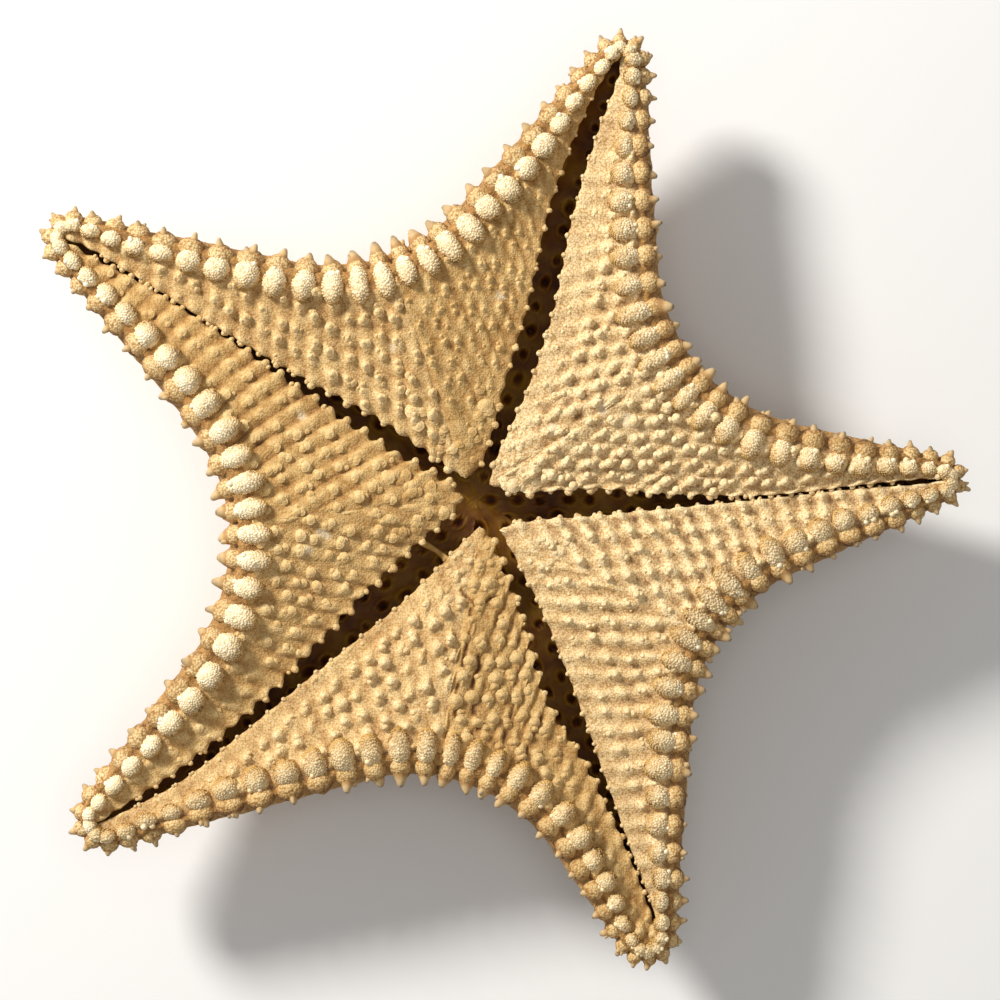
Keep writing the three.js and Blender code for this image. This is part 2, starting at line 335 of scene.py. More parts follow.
def join(parts):
    """One set of points, triangles and tones from several."""
    points, triangles, first = [], [], 0
    for part_points, part_triangles, _ in parts:
        points.append(part_points)
        triangles.append(part_triangles + first)
        first += len(part_points)
    tones = {key: np.concatenate([tones[key] for _, _, tones in parts]) for key in parts[0][2]}
    return np.concatenate(points), np.concatenate(triangles), tones


def weld(points, triangles, tones, reach=1e-3):
    """Makes one point of those that lie at the same place."""
    keys = np.round(points / reach).astype(np.int64)
    _, first, back = np.unique(keys, axis=0, return_index=True, return_inverse=True)
    triangles = back.reshape(-1)[triangles]
    whole = (triangles[:, 0] != triangles[:, 1]) & (triangles[:, 1] != triangles[:, 2])
    whole &= triangles[:, 2] != triangles[:, 0]
    return points[first], triangles[whole], {k: v[first] for k, v in tones.items()}


# ---------------------------------------------------------------- webs

def mound_at(i, j, seed):
    """Shift along the groove and along the rib, size and strength of the mound of rib i and row j."""
    shift = 0.32 * (chance(i, j, seed) - 0.5)
    slide = 0.40 * (chance(i, j, seed + 1) - 0.5)
    return shift, slide, mix(0.8, 1.12, chance(i, j, seed + 2)), mix(0.5, 1.0, chance(i, j, seed + 3))


def mounds(n, m, pitch, seed):
    """Height from 0 to 1 of the mounds at the crossings of ribs (n) and rows (m), a little out of line."""
    best = np.zeros(len(n))
    for nearby in range(9):
        i, j = np.round(n) + nearby // 3 - 1, np.round(m) + nearby % 3 - 1
        shift, slide, size, strength = mound_at(i, j, seed)
        across = (n - i - shift) * pitch / (0.43 * np.minimum(pitch, RIB_PITCH) * size)
        along = (m - j - slide) * ROW_PITCH / (2.2 * size)
        best = np.maximum(best, strength * np.clip(1 - across ** 2 - along ** 2, 0, 1) ** 1.1)
    return best


def flat_scales(n, depth, spot, seed):
    """Height from 0 to 1 of flat scales, one behind the other along each rib, with narrow gaps."""
    rib = np.round(n)
    row = depth / 3.5 + chance(rib, 0, seed + 60) + 0.15 * noise(spot, 3.0, seed + 61)
    across = np.abs(2 * (n - rib))
    along = np.abs(2 * (row - np.round(row)))
    varied = mix(0.75, 1.0, chance(rib, np.round(row), seed + 62))
    return varied * (1 - across ** 3) * (1 - along ** 5)


def liveliness(half, n, depth):
    """Strength of the relief: less beside some grooves and near the mouth."""
    bare = half.look["bare"]
    calm = 1 - 0.85 * smooth((bare + 2.5 - depth) / 3.5) if bare > 0 else np.ones(len(n))
    return calm * mix(0.5, 1.0, smooth(n / 4.0))


def web_relief(half, n, m, pitch, depth, spot):
    """Height of the skin of a web above its smooth form, and its tone there, with painted shade in its
    furrows and painted light on its relief.

    n counts ribs from the mouth, m counts rows from the groove, pitch is the space between ribs, depth is the
    distance from the groove and spot is the place in space."""
    look, seed = half.look, 11 * half.k + 5 * half.side
    n = n + 0.10 * noise(spot, 6.0, seed + 5)
    on_rib = 0.5 + 0.5 * np.cos(2 * np.pi * n)
    on_row = 0.5 + 0.5 * np.cos(2 * np.pi * (m + 0.2 * noise(spot, 7.0, seed + 6)))
    mound = mounds(n, m, pitch, seed)
    off_rib = np.abs(n - np.floor(n) - 0.5) * pitch + 0.25 * noise(spot, 1.8, seed + 7)
    furrow = np.exp(-(off_rib / 0.38) ** 2) * smooth(0.45 + noise(spot, 9.0, seed + 8))
    net = np.maximum(on_rib ** 1.5, on_row ** 1.5)
    scales = flat_scales(n, depth, spot, seed)
    calm = liveliness(half, n, depth)
    rough = 0.12 * noise(spot, 1.5, seed + 9) + 0.22 * noise(spot, 4.2, seed + 10)
    ribs = look["rib"] * (on_rib ** 1.3 - 0.4) * mix(0.7, 1.0, calm)
    height = look["mound"] * mound + look["row"] * (net - 0.6) + look["scale"] * (scales - 0.8)
    furrow = furrow * smooth((n - 2.5) / 2)
    height = (height - look["furrow"] * furrow) * calm + ribs + rough
    # Painted light: the tone is paler on the mounds, ribs and rows and darker in the furrows and the gaps
    # between scales; the rough noise varies it at random.
    raised = 0.48 * mound + 0.7 * (on_rib - 0.5) * look["rib"] + (net - 0.6) * look["row"]
    sunk = 1.1 * furrow * look["furrow"] + 0.25 * (1 - scales) * look["scale"]
    tone = 0.42 + calm * raised - sunk + 0.6 * rough
    return height, np.clip(tone, 0, 1)


def column_lines(half, start):
    """The columns of half a web that leave the groove at these shares of it: their points and heights."""
    lead = half.look["lead"]
    steps = np.linspace(0, 1, 800)
    run = np.interp((start - lead) / (1 - lead), skew(steps, EDGE_CROWDING), steps)
    rim = half.rim(run)
    apex = np.array(half.bay["apex"], float)
    corner = half.rim(np.zeros(1))
    q = np.clip(start / lead, 0, 1)
    middle = apex + (corner["ridge"][0] - apex) * q[:, None]
    middle_z = mix(half.edge_height(0.0), corner["crest"][0], q ** 1.3) + RIDGE * np.sin(np.pi * q)
    inner = start <= lead
    roundness = smooth((1.4 - np.where(inner, q, 1 + 2 * run)) / 0.8)
    far = np.where(inner[:, None], middle, rim["ridge"])
    far_z = np.where(inner, middle_z, rim["crest"])
    near, near_z = half.edge(start), half.edge_height(start)
    chord = far - near
    mouthward = -half.side * np.stack([chord[:, 1], -chord[:, 0]], 1)
    between = 0.5 * (near + far) + half.look["bow"] * mouthward * smooth(start / 0.3)[:, None]
    return dict(near=near, between=between, far=far, near_z=near_z, far_z=far_z, round=roundness,
                length=np.linalg.norm(chord, axis=1))


def on_columns(line, c, t):
    """Points of the columns c at shares t of their lengths. The web is rounded where its halves meet."""
    rise = mix(np.clip(t, 0, 1) ** 1.2, 1 - np.clip(1 - t, 0, 1) ** 1.7, line["round"][c])
    z = mix(line["near_z"][c], line["far_z"][c], rise)
    t = t[:, None]
    flat = (1 - t) ** 2 * line["near"][c] + 2 * t * (1 - t) * line["between"][c] + t * t * line["far"][c]
    return np.column_stack([flat, z])


def lobes(half, start):
    """How far the teeth of the web's edge stand out into the groove, for shares of its length."""
    n = start * half.edge_length / RIB_PITCH
    i = np.round(n)
    shape = np.clip(0.5 + 0.5 * np.cos(2 * np.pi * n), 0, 1) ** 0.75
    varied = mix(0.65, 1.15, chance(i, 3, 70 + half.k))
    length = half.arm["reach"] + half.arm["tip"]
    stations = [0.0, *(s * length for s in GROOVE_STATIONS), length]
    gap = curve_through(stations, [4.0, *half.arm["gap"], 0.3], mix(half.edge_xs[0], half.end, start))
    ragged = 0.25 * (chance(np.floor(n * 3.3), 5, 71 + half.k) - 0.5)
    reach = half.look["tooth"] * shape * varied + ragged
    return reach * np.clip(gap / 2.2, 0.15, 1) * smooth(start / 0.02)


def groove_side(half, start):
    """Directions from the web's edge into the groove."""
    along = unit(half.edge(start + 0.004) - half.edge(start - 0.004))
    return half.side * np.column_stack([-along[:, 1], along[:, 0]])


def half_web(half):
    """Points, column rows and relief coordinates of half a web, before its relief is added."""
    lead = half.look["lead"]
    to_margin = mix(lead, 1.0, skew(MARGIN_SHARES[1:], EDGE_CROWDING))
    start = np.concatenate([lead * MIDDLE_SHARES, to_margin])
    line = column_lines(half, start)
    half.root = line["near"].copy()
    line["near"] = line["near"] + groove_side(half, start) * lobes(half, start)[:, None]
    gap = np.linalg.norm(np.gradient(line["far"], axis=0), axis=1)
    gap = gap / np.maximum(np.gradient(start) * half.edge_length / RIB_PITCH, 1e-6)
    half.starts, half.gaps = start, np.clip(gap, 1.8, 6.0)
    columns = [np.linspace(0, 1, max(4, int(length / WEB_STEP)) + 1) for length in line["length"]]
    source = np.repeat(np.arange(len(start)), [len(rows) for rows in columns])
    t, length = np.concatenate(columns), line["length"][source]
    return dict(columns=columns, source=source, spot=on_columns(line, source, t), depth=t * length,
                left=(1 - t) * length, n=start[source] * half.edge_length / RIB_PITCH,
                m=t * length / ROW_PITCH, pitch=mix(RIB_PITCH, half.gaps[source], t))


CRACKS = [   # width, then the places that each crack of the lower web passes
    (0.42, [(-4.1, -22.3), (0.0, -25.9), (5.5, -23.5)]),
    (0.5, [(-1.2, -26.9), (-2.4, -36.5), (-4.8, -45.6), (-5.3, -53.0)]),
    (0.42, [(0.2, -38.4), (-1.2, -45.6), (-0.2, -55.0), (-2.4, -58.6)]),
    (0.42, [(10.3, -45.6), (6.7, -57.1), (4.3, -60.2)]),
    (0.55, [(15.8, -53.0), (13.2, -59.5), (9.4, -66.2)]),
]
CRACK_DEPTH = 0.45


def cracks(spot):
    """Share of their depth that the cracks of the lower web have at each point."""
    waves = np.column_stack([noise(spot, 3.4, 3), noise(spot, 3.4, 4)])
    flat = spot[:, :2] + 0.8 * waves
    sunk = np.zeros(len(spot))
    for width, line in CRACKS:
        nearest = np.full(len(spot), 1e3)
        for a, b in zip(np.array(line[:-1]), np.array(line[1:])):
            along = np.clip(((flat - a) @ (b - a)) / ((b - a) @ (b - a)), 0, 1)
            nearest = np.minimum(nearest, np.linalg.norm(flat - a - along[:, None] * (b - a), axis=1))
        sunk = np.maximum(sunk, np.exp(-(nearest / width) ** 2))
    return sunk


# Chalky bare patches: x, y and radius.
FLECKS = [(30.5, 22.0, 1.5), (36.5, 19.5, 1.2), (28.8, 24.2, 0.8), (18.7, 17.3, 1.4), (21.0, 14.6, 0.7),
          (-37.4, -8.4, 1.3), (-41.3, -12.5, 0.8), (5.5, 49.7, 1.1), (-43.0, 20.5, 0.9), (-20.5, 37.0, 0.8)]


def flecks(spot):
    """How chalky the skin is at each point."""
    total = np.zeros(len(spot))
    ragged = 0.5 * noise(spot, 1.6, 12) + 0.5 * noise(spot, 0.8, 13)
    for x, y, radius in FLECKS:
        away = np.hypot(spot[:, 0] - x, spot[:, 1] - y) / radius
        total = np.maximum(total, smooth(1.6 - away + ragged))
    return total


def lifted(half, web, shared):
    """The web's points with their relief. shared is the height at the middle, where the two halves meet."""
    height, tone = web_relief(half, web["n"], web["m"], web["pitch"], web["depth"], web["spot"])
    meeting, left = len(shared), web["left"]
    middle = np.zeros(len(web["columns"]))
    middle[:meeting] = shared
    at_middle = web["source"] < meeting
    fringe = 0.10 * noise(web["spot"], 1.7, 90) - 0.5
    height = np.where(at_middle, mix(height, middle[web["source"]], smooth(1 - left / 3.0)),
                      mix(height, fringe, smooth(1 - left / 1.6)))
    # Painted shade: the web darkens over its last 3 mm, where it meets the rim and its plates.
    tone = np.where(at_middle, tone, mix(tone, 0.08, smooth(1 - left / 3.0)))
    height = height - 0.45 * smooth(1 - web["depth"] / 0.8)
    if half.k == 2:
        sunk = cracks(web["spot"])
        height = height - CRACK_DEPTH * sunk
        # Painted shade in the cracks.
        tone = np.clip(tone - 0.5 * sunk, 0, 1)
    return web["spot"] + UP * height[:, None], tone


def with_lip(half, web, points, tone):
    """Adds the cut face below the groove edge to each column, painted darker the deeper it lies: painted
    shade.
    """
    drops, shares = np.array(LIP_DROPS), np.array(LIP_SHARES)[:, None]
    starts = np.cumsum([len(c) for c in web["columns"]])[:-1]
    rows, columns = [], []
    for c, (column, column_tone) in enumerate(zip(np.split(points, starts), np.split(tone, starts))):
        edge = mix(column[0, :2], half.root[c], shares)
        lip = np.column_stack([edge, column[0, 2] - drops])
        # Painted shade: the lip's tones darken towards the bottom of the groove.
        rows += [(lip, np.array([0.05, 0.12, 0.3])), (column, column_tone)]
        columns.append(np.concatenate([[-0.3, -0.2, -0.1], web["columns"][c]]))
    points, tone = gather(rows)
    return points, tone, columns


def make_web(k, material):
    webs = {side: half_web(HALVES[k, side]) for side in (-1, 1)}
    heights = []
    for side, web in webs.items():
        ends = np.cumsum([len(c) for c in web["columns"]])[:len(MIDDLE_SHARES)] - 1
        at_ends = [web[key][ends] for key in ("n", "m", "pitch", "depth", "spot")]
        heights.append(web_relief(HALVES[k, side], *at_ends)[0])
    shared = 0.5 * (heights[0] + heights[1])
    parts = []
    for side, web in webs.items():
        half = HALVES[k, side]
        points, tone, columns = with_lip(half, web, *lifted(half, web, shared))
        tones = dict(tone=tone, pale=np.full(len(points), half.look["pale"]), chalk_and_highlight=flecks(points))
        parts.append((points, sheet_of(columns, side < 0), tones))
    points, triangles, tones = weld(*join(parts))
    names = ("upper", "left", "lower", "lower_right", "upper_right")
    return new_mesh(f"{names[k]}_web", material, points, triangles, tones)


def web_places(half, n, depth):
    """Points on the relief of half a web at rib numbers and distances from the groove; which to keep."""
    start = n * RIB_PITCH / half.edge_length
    line = column_lines(half, start)
    share = depth / line["length"]
    keep = (start > 0.004) & (start < 0.97) & (share < 1 - 1.6 / line["length"]) & (share > 0)
    spot = on_columns(line, np.arange(len(share)), share)
    pitch = mix(RIB_PITCH, np.interp(start, half.starts, half.gaps), share)
    height, tone = web_relief(half, n, depth / ROW_PITCH, pitch, depth, spot)
    return spot + UP * height[:, None], tone, keep


def make_web_tubercles(material):
    """Smooth tubercles on the mounds of the webs, small ones between, and a few large ones near the mouth."""
    rows = []
    i, j = (a.ravel().astype(float) for a in np.meshgrid(np.arange(26), np.arange(14)))
    small, large = np.arange(80.0), np.arange(9.0)
    for (k, side), half in HALVES.items():
        look, seed = half.look, 11 * k + 5 * side
        shift, slide, _, strength = mound_at(i, j, seed)
        for copy, (away, scale) in enumerate([(0.35, 1.0), (1.15, 0.75), (1.25, 0.7)]):
            share = np.clip(look["pearls"] - copy, 0, 1) * mix(0.55, 1, strength)
            wanted = chance(i, j, seed + 20 + copy) < share
            turn = 2 * np.pi * chance(i, j, seed + 30 + copy)
            n = i + shift + away * np.cos(turn) / RIB_PITCH
            depth = (j + slide) * ROW_PITCH + away * np.sin(turn)
            radius = look["pearl"] * mix(0.75, 1.25, chance(i, j, seed + 40 + copy)) * scale
            rows.append(tubercles(half, n, depth, radius, look["low"], wanted))
        seed += 50
        n, depth = 24 * chance(small, 1, seed), 45 * chance(small, 2, seed) ** 1.3
        rows.append(tubercles(half, n, depth, mix(0.3, 0.5, chance(small, 3, seed)), look["low"]))
        n, depth = 0.4 + 2.8 * chance(large, 4, seed), 1.2 + 8 * chance(large, 5, seed)
        rows.append(tubercles(half, n, depth, mix(1.0, 1.7, chance(large, 6, seed)), 0.3))
    place, size, tone, pale = gather(rows)
    frames = bases(UP + 0.25 * unit(place * [1, 1, 0]), np.array([1.0, 0.1, 0]))
    points, triangles, extra = scatter(bell(5, 10), place, frames, size, dict(tone=tone, pale=pale))
    return new_mesh("web_tubercles", material, shaken(points, 0.07, 0.9, 21), triangles, extra)


def tubercles(half, n, depth, radius, low, wanted=True):
    """Places, sizes, tones and paleness of bells at these rib numbers and distances from the groove."""
    spot, tone, keep = web_places(half, n, depth)
    keep = keep & wanted & (depth > 1.0)
    calm = liveliness(half, n, depth)[keep]
    along = np.clip(n[keep] * RIB_PITCH / half.edge_length, 0, 1)
    radius = radius[keep] * mix(0.6, 1.0, calm) * (1 - 0.4 * along)
    place = spot[keep] - UP * (0.3 * radius * (0.22 + low))[:, None]
    size = np.column_stack([radius, 1.2 * radius * (0.22 + low), radius])
    # Painted highlight: tubercles are paler than the skin under them, the more so on the pale halves.
    tone = np.clip(tone[keep] + mix(-0.1, 0.35, half.look["pale"]), 0, 1)
    return place, size, tone, np.full(len(radius), half.look["pale"])


# ---------------------------------------------------------------- flanks and dome

def make_flanks(material):
    """The side of the rim with its upper marginal plates, and the dome down to the keels."""
    parts = []
    u = np.linspace(0, 1, 200)
    for half in HALVES.values():
        rim = half.rim(MARGIN_SHARES)
        plate = PLATES * np.interp(MARGIN_SHARES, half.plate_run(u), u)
        made = [flank_column(rim, c, plate[c]) for c in range(len(MARGIN_SHARES))]
        points, tones = gather([(spot, tone) for _, spot, tone in made])
        parts.append((points, sheet_of([rows for rows, _, _ in made], half.side > 0), dict(tone=tones)))
    points, triangles, tones = weld(*join(parts))
    tones["pale"] = np.full(len(points), 0.3)
    return new_mesh("flanks_and_dome", material, points, triangles, tones)


def flank_column(rim, c, plate):
    """One column down the rim and the dome: its rows, points and tones. plate counts plates from the bay."""
    ridge, edge, keel = rim["ridge"][c], rim["margin"][c], rim["keel"][c]
    crest, waist, low = rim["crest"][c], rim["waist"][c], rim["keel_height"][c]
    inward = rim["inward"][c]
    turn = np.linspace(0, np.pi / 2, 17)
    wide = np.linalg.norm(edge - ridge)
    rim_flat = ridge + np.sin(turn)[:, None] * (edge - ridge)
    rim_z = mix(waist, crest, np.cos(turn))
    rim_normal = np.column_stack([-inward[0] * np.sin(turn), -inward[1] * np.sin(turn), np.cos(turn)])
    span = np.linalg.norm(edge - keel)
    fall = waist - low
    rows = max(5, int(math.hypot(span, fall) / 1.15))
    bend = np.linspace(0, np.pi / 2, rows + 1)[1:]
    dome_flat = keel + (np.cos(bend) ** DOME_POWER)[:, None] * (edge - keel)
    dome_z = mix(waist, low, np.sin(bend) ** DOME_POWER)
    outward = unit(edge - keel) if span > 1e-6 else -inward
    level = np.cos(bend) ** 0.75
    drop = np.sin(bend) ** 0.75 * span / max(fall, 1e-6)
    dome_normal = unit(np.column_stack([outward[0] * level, outward[1] * level, -drop]))
    spot = np.vstack([np.column_stack([rim_flat, rim_z]), np.column_stack([dome_flat, dome_z])])
    normal = np.vstack([rim_normal, dome_normal])
    down = np.concatenate([[0], np.cumsum(np.linalg.norm(np.diff(spot, axis=0), axis=1))])
    height, tone = flank_relief(spot, down, plate, wide)
    fringe = 0.10 * noise(spot, 1.7, 90) - 0.5
    near_web = mix(fringe, height, smooth(down / 1.2))
    height = np.where(down < 1.2, near_web, height * smooth(down[-1] - down))
    spot = spot + normal * height[:, None]
    spot[0] = np.append(ridge, crest + fringe[0])
    return down / down[-1], spot, tone


def flank_relief(spot, down, plate, wide):
    """Upper marginal plates stand out between furrows. Below them a net of knobbed ridges covers the dome."""
    middle = 1 - (2 * (plate - math.floor(plate)) - 1) ** 2
    scale = wide / RIM_WIDTH
    lobe = np.exp(-((down - 8.5 * scale) / (4.0 * scale)) ** 4)
    plates = 2.2 * scale * (max(middle, 0.0) ** 0.5 - 1.0) * lobe
    below = smooth((down - 13 * scale) / 3)
    m = down / 6.0
    row = 0.5 + 0.5 * np.cos(2 * np.pi * m)
    rib = 0.5 + 0.5 * math.cos(2 * np.pi * (plate - 0.5))
    net = np.maximum(row ** 2, rib ** 2)
    lump = row ** 3 * rib ** 3
    dome = below * (0.9 * (net - 0.5) + 1.2 * lump)
    rough = 0.25 * noise(spot, 2.4, 31) + 0.12 * noise(spot, 1.1, 32)
    # Painted light: the tone is paler on the middles of the upper plates and on the ridges of the dome,
    # darker in the furrows between them; the rough noise varies it at random.
    tone = 0.2 + 0.2 * lobe * middle + below * 0.35 * (net - 0.4) + 0.2 * rough
    return plates + dome + rough, np.clip(tone, 0, 1)


# ---------------------------------------------------------------- inside

def make_inside(material):
    """The hollow's skin: under the webs, down the flanks and over the floor with its pores."""
    parts = []
    for half in HALVES.values():
        shares = np.linspace(0, 1, 145)
        rim = half.rim(shares)
        near = half.edge(rim["out"])
        made = [inside_column(rim, c, near[c], half) for c in range(len(shares))]
        points = np.concatenate([spot for _, spot in made])
        depth, tone = pores(half, points)
        points[:, 2] -= depth
        parts.append((points, sheet_of([rows for rows, _ in made], half.side < 0), dict(tone=tone)))
    points, triangles, tones = weld(*join(parts))
    tones["pale"] = np.zeros(len(points))
    return new_mesh("inside", material, points, triangles, tones)


def inside_column(rim, c, near, half):
    """One column under the web, down the flank and over the floor: its rows and points."""
    wall, out, inward = rim["wall"][c], rim["out"][c], rim["inward"][c]
    edge_z = half.edge_height(out) - wall
    crest = rim["crest"][c] - wall
    ridge = rim["ridge"][c] + inward * mix(1.0, 0.6, out)
    margin = rim["margin"][c] + inward * wall
    keel, low = rim["keel"][c], rim["keel_height"][c] + wall
    waist = rim["waist"][c]
    t = np.linspace(0, 1, 6)
    under = np.column_stack([mix(near, ridge, t[:, None]), mix(edge_z, crest, t ** 1.4)])
    turn = np.linspace(0, np.pi / 2, 5)[1:]
    side_flat = ridge + np.sin(turn)[:, None] * (margin - ridge)
    side = np.column_stack([side_flat, mix(waist, crest, np.cos(turn))])
    span = np.linalg.norm(margin - keel)
    fine = np.arange(0, min(span, 11.0), 0.55)
    coarse = np.arange(fine[-1] + 0.55, span - 0.3, 2.6) if span > 12 else np.zeros(0)
    away = np.concatenate([fine, coarse])[::-1] / span
    turn = np.arccos(np.clip(away ** (1 / DOME_POWER), 0, 1))
    floor_z = mix(waist, low, np.sin(turn) ** DOME_POWER)
    floor = np.column_stack([keel + away[:, None] * (margin - keel), floor_z])
    spot = np.vstack([under, side, floor])
    rows = np.concatenate([0.3 * t, 0.3 + 0.2 * np.linspace(0.25, 1, 4), 1 - 0.5 * away])
    return rows, spot


# Rows of pores in the floor of each arm, by their distance from its axis.
PORE_ROWS = [(0.6, 7.0, -7.0), (-3.4, 2.2, 7.5), (0.4, 5.4, -5.5), (-1.6, 3.6, 8.5), (-5.2, -0.6, 4.6)]
PORE_PITCH = 6.4


def pores(half, points):
    """Depth of the pores in the floor and of its wavy bands, and how light the floor is: random bands,
    painted shade in the pores and a painted highlight on their rims.
    """
    flat = points[:, :2]
    along, offset = flat @ half.axis, flat @ half.across
    on_floor = smooth((24 - points[:, 2] + 0.1 * along) / 6)
    depth = 0.25 * noise(points, 3.5, 61) + 0.10 * noise(points, 1.4, 62)
    hole, rim = np.zeros(len(points)), np.zeros(len(points))
    for r, line in enumerate(PORE_ROWS[half.arm_index]):
        i = np.round(along / PORE_PITCH + 0.5 * (r % 2)) - 0.5 * (r % 2)
        seed = 7 * half.arm_index + r
        a = (i + 0.3 * (chance(i, r, seed) - 0.5)) * PORE_PITCH
        o = line + 1.6 * (chance(i, r, seed + 1) - 0.5)
        size = mix(1.05, 1.5, chance(i, r, seed + 2)) * (1 - 0.4 * along / 120)
        longer = mix(0.85, 1.45, chance(i, r, seed + 3))
        away = np.hypot((along - a) / longer, offset - o) / size
        away = away + 0.18 * noise(points, 1.3, 63)
        hole = np.maximum(hole, smooth(1.25 - away) * (a > 3))
        rim = np.maximum(rim, np.exp(-((away - 1.4) / 0.28) ** 2))
    bands = noise(np.column_stack([along, offset * 0.25, 0 * along]), 3.2, 64)
    depth = (depth + 1.3 * hole - 0.45 * rim) * on_floor
    tone = 0.55 + 0.22 * bands * smooth((along - 8) / 8) + 0.15 * noise(points, 6.0, 65)
    # Painted shade in the pores, painted highlight on their rims.
    tone = tone * (1 - 0.8 * hole) + 0.28 * rim * (1 - hole)
    return depth, np.clip(tone, 0, 1)


# ---------------------------------------------------------------- small pieces

def skin_rings(rings):
    """Triangles between rings of point numbers. A ring that is a pole repeats one number."""
    low, high = np.array(rings[:-1]), np.array(rings[1:])
    low_next, high_next = np.roll(low, -1, 1), np.roll(high, -1, 1)
    both = np.concatenate([np.stack([low, high, high_next], -1), np.stack([low, high_next, low_next], -1)])
    triangles = both.reshape(-1, 3)
    return triangles[[len(set(t)) == 3 for t in triangles.tolist()]]


def turned(profile, sides, flip=False):
    """Points and triangles of a shape turned about +Y from heights and radii; flip for heights that fall."""
    around = np.arange(sides) * 2 * np.pi / sides
    points, rings = [], []
    for height, radius in profile:
        count = sides if radius > 1e-9 else 1
        rings.append(len(points) + np.arange(sides) % count)
        points += [(radius * math.cos(a), height, radius * math.sin(a)) for a in around[:count]]
    triangles = skin_rings(rings)
    return np.array(points), triangles[:, ::-1] if flip else triangles


def ball(rings, sides):
    """A unit ball with its poles on the Z axis."""
    profile = [(math.cos(p), math.sin(p)) for p in np.linspace(0, np.pi, rings + 1)]
    points, triangles = turned(profile, sides)
    return points[:, [0, 2, 1]], triangles


def bell(rings, sides):
    """A bell-shaped knob of unit height with its top along +Y and a flared foot."""
    profile = [((1 - t * t) ** 1.5, 1.35 * t) for t in np.linspace(0, 1, rings + 1)]
    return turned(profile, sides, flip=True)


GRANULE = turned([(1, 0), (-0.1, 1)], 6, flip=True)
SPINE = turned([(-0.35, 1.3), (0.0, 1.05), (0.35, 0.8), (0.7, 0.56), (0.92, 0.34), (1.0, 0)], 8)
FOOT = turned([(0, 0), (0.0, 0.5), (0.03, 0.6), (0.12, 0.66), (0.5, 0.82), (1.0, 1.1)], 16)


def bases(forward, up):
    """Frames with this forward direction, as close to this up as can be: columns are side, forward, top."""
    forward = unit(forward)
    side = unit(np.cross(forward, up))
    return np.stack([side, forward, np.cross(side, forward)], -1)


def scatter(shape, centres, frames, sizes, tones=None):
    """Copies of a shape, one for each centre, turned by its frame and scaled by its sizes."""
    points, triangles = shape
    placed = np.einsum("nij,nkj->nki", frames, points[None] * sizes[:, None, :]) + centres[:, None, :]
    count = len(points)
    every = triangles[None] + (np.arange(len(centres)) * count)[:, None, None]
    extra = {key: np.repeat(values, count) for key, values in (tones or {}).items()}
    return placed.reshape(-1, 3), every.reshape(-1, 3), extra


def on_rim(rim, inward):
    """Points on the rim this far in from the margin, with the outward normals of the skin there."""
    wide = np.linalg.norm(rim["margin"] - rim["ridge"], axis=1)
    outer = np.clip(1 - inward / wide, 0, 1)
    z = mix(rim["waist"], rim["crest"], np.sqrt(1 - outer ** 2))
    point = np.column_stack([rim["margin"] + rim["inward"] * inward[:, None], z])
    lean = np.column_stack([-rim["inward"] * outer[:, None], np.sqrt(1 - outer ** 2)])
    return point, unit(lean)


def plate_gaps(half):
    ends = half.margin(half.plate_run(np.arange(PLATES + 1) / PLATES))[0]
    return np.linalg.norm(np.diff(ends, axis=0), axis=1)


def band_of(half, run):
    """Distance of the lower marginal plates' middles from the margin."""
    return mix(BAND[half.k], 2.9, smooth((run - 0.45) / 0.55))


UPPER_HEIGHT = 3.4      # half the height of a full upper marginal plate


def lower_plates():
    """Places, frames and sizes of the lower marginal plates, the big knobs round the rim."""
    rows = []
    for (k, side), half in HALVES.items():
        i = np.arange(PLATES)
        run = half.plate_run((i + 0.5) / PLATES)
        rim = half.rim(run)
        a, b, c = (chance(i, 20 * k + side, s) - 0.5 for s in (1, 2, 3))
        centre, _ = on_rim(rim, band_of(half, run) + 0.7 * a)
        long = mix(4.5, 1.8, smooth((run - 0.05) / 0.9)) * (1 + 0.2 * b)
        half_gap = 0.5 * plate_gaps(half) * (0.88 + 0.12 * c)
        high = np.minimum(half_gap, long) * 0.95
        centre[:, 2] += 0.2 - 0.25 * high + 0.4 * a
        frames = bases(np.column_stack([-rim["inward"], -0.2 + 0.2 * a]), UP)
        looks = (np.full(PLATES, value) for value in (PLATE_PALE[k], PLATE_CHALK_AND_HIGHLIGHT[k], k))
        rows.append((centre, frames, np.column_stack([half_gap, long, high]), *looks))
    return dict(zip(("centre", "frame", "size", "pale", "chalk_and_highlight", "web"), gather(rows)))


def upper_plates():
    """Places, frames and sizes of the upper marginal plates, which stand out below the lower ones."""
    rows = []
    for (k, side), half in HALVES.items():
        i = np.arange(PLATES)
        a, b = (chance(i, 30 * k + side, s) - 0.5 for s in (4, 5))
        run = half.plate_run((i + 0.5) / PLATES)
        rim = half.rim(run)
        scale = mix(1.0, 0.65, rim["out"])
        point, normal = on_rim(rim, np.clip(band_of(half, run) - 5.6 * scale + 0.4 * a, 0.3, 2.6))
        centre = point - normal * (0.8 * scale)[:, None]
        sizes = np.column_stack([0.47 * plate_gaps(half), 3.1 * scale * (1 + 0.2 * b), UPPER_HEIGHT * scale])
        # Painted shade: the upper plates are given a darker tone than the lower ones of the same web.
        looks = (np.full(PLATES, value) for value in (0.6 * PLATE_PALE[k], 0.0))
        rows.append((centre, bases(normal + [0, 0, -0.1], UP), sizes, *looks))
    return dict(zip(("centre", "frame", "size", "pale", "chalk_and_highlight"), gather(rows)))


def plate_lumps(points):
    """How far the plates' surface and the granules on it stand out at each point."""
    return 0.25 * noise(points, 2.4, 41) + 0.07 * noise(points, 0.9, 42)


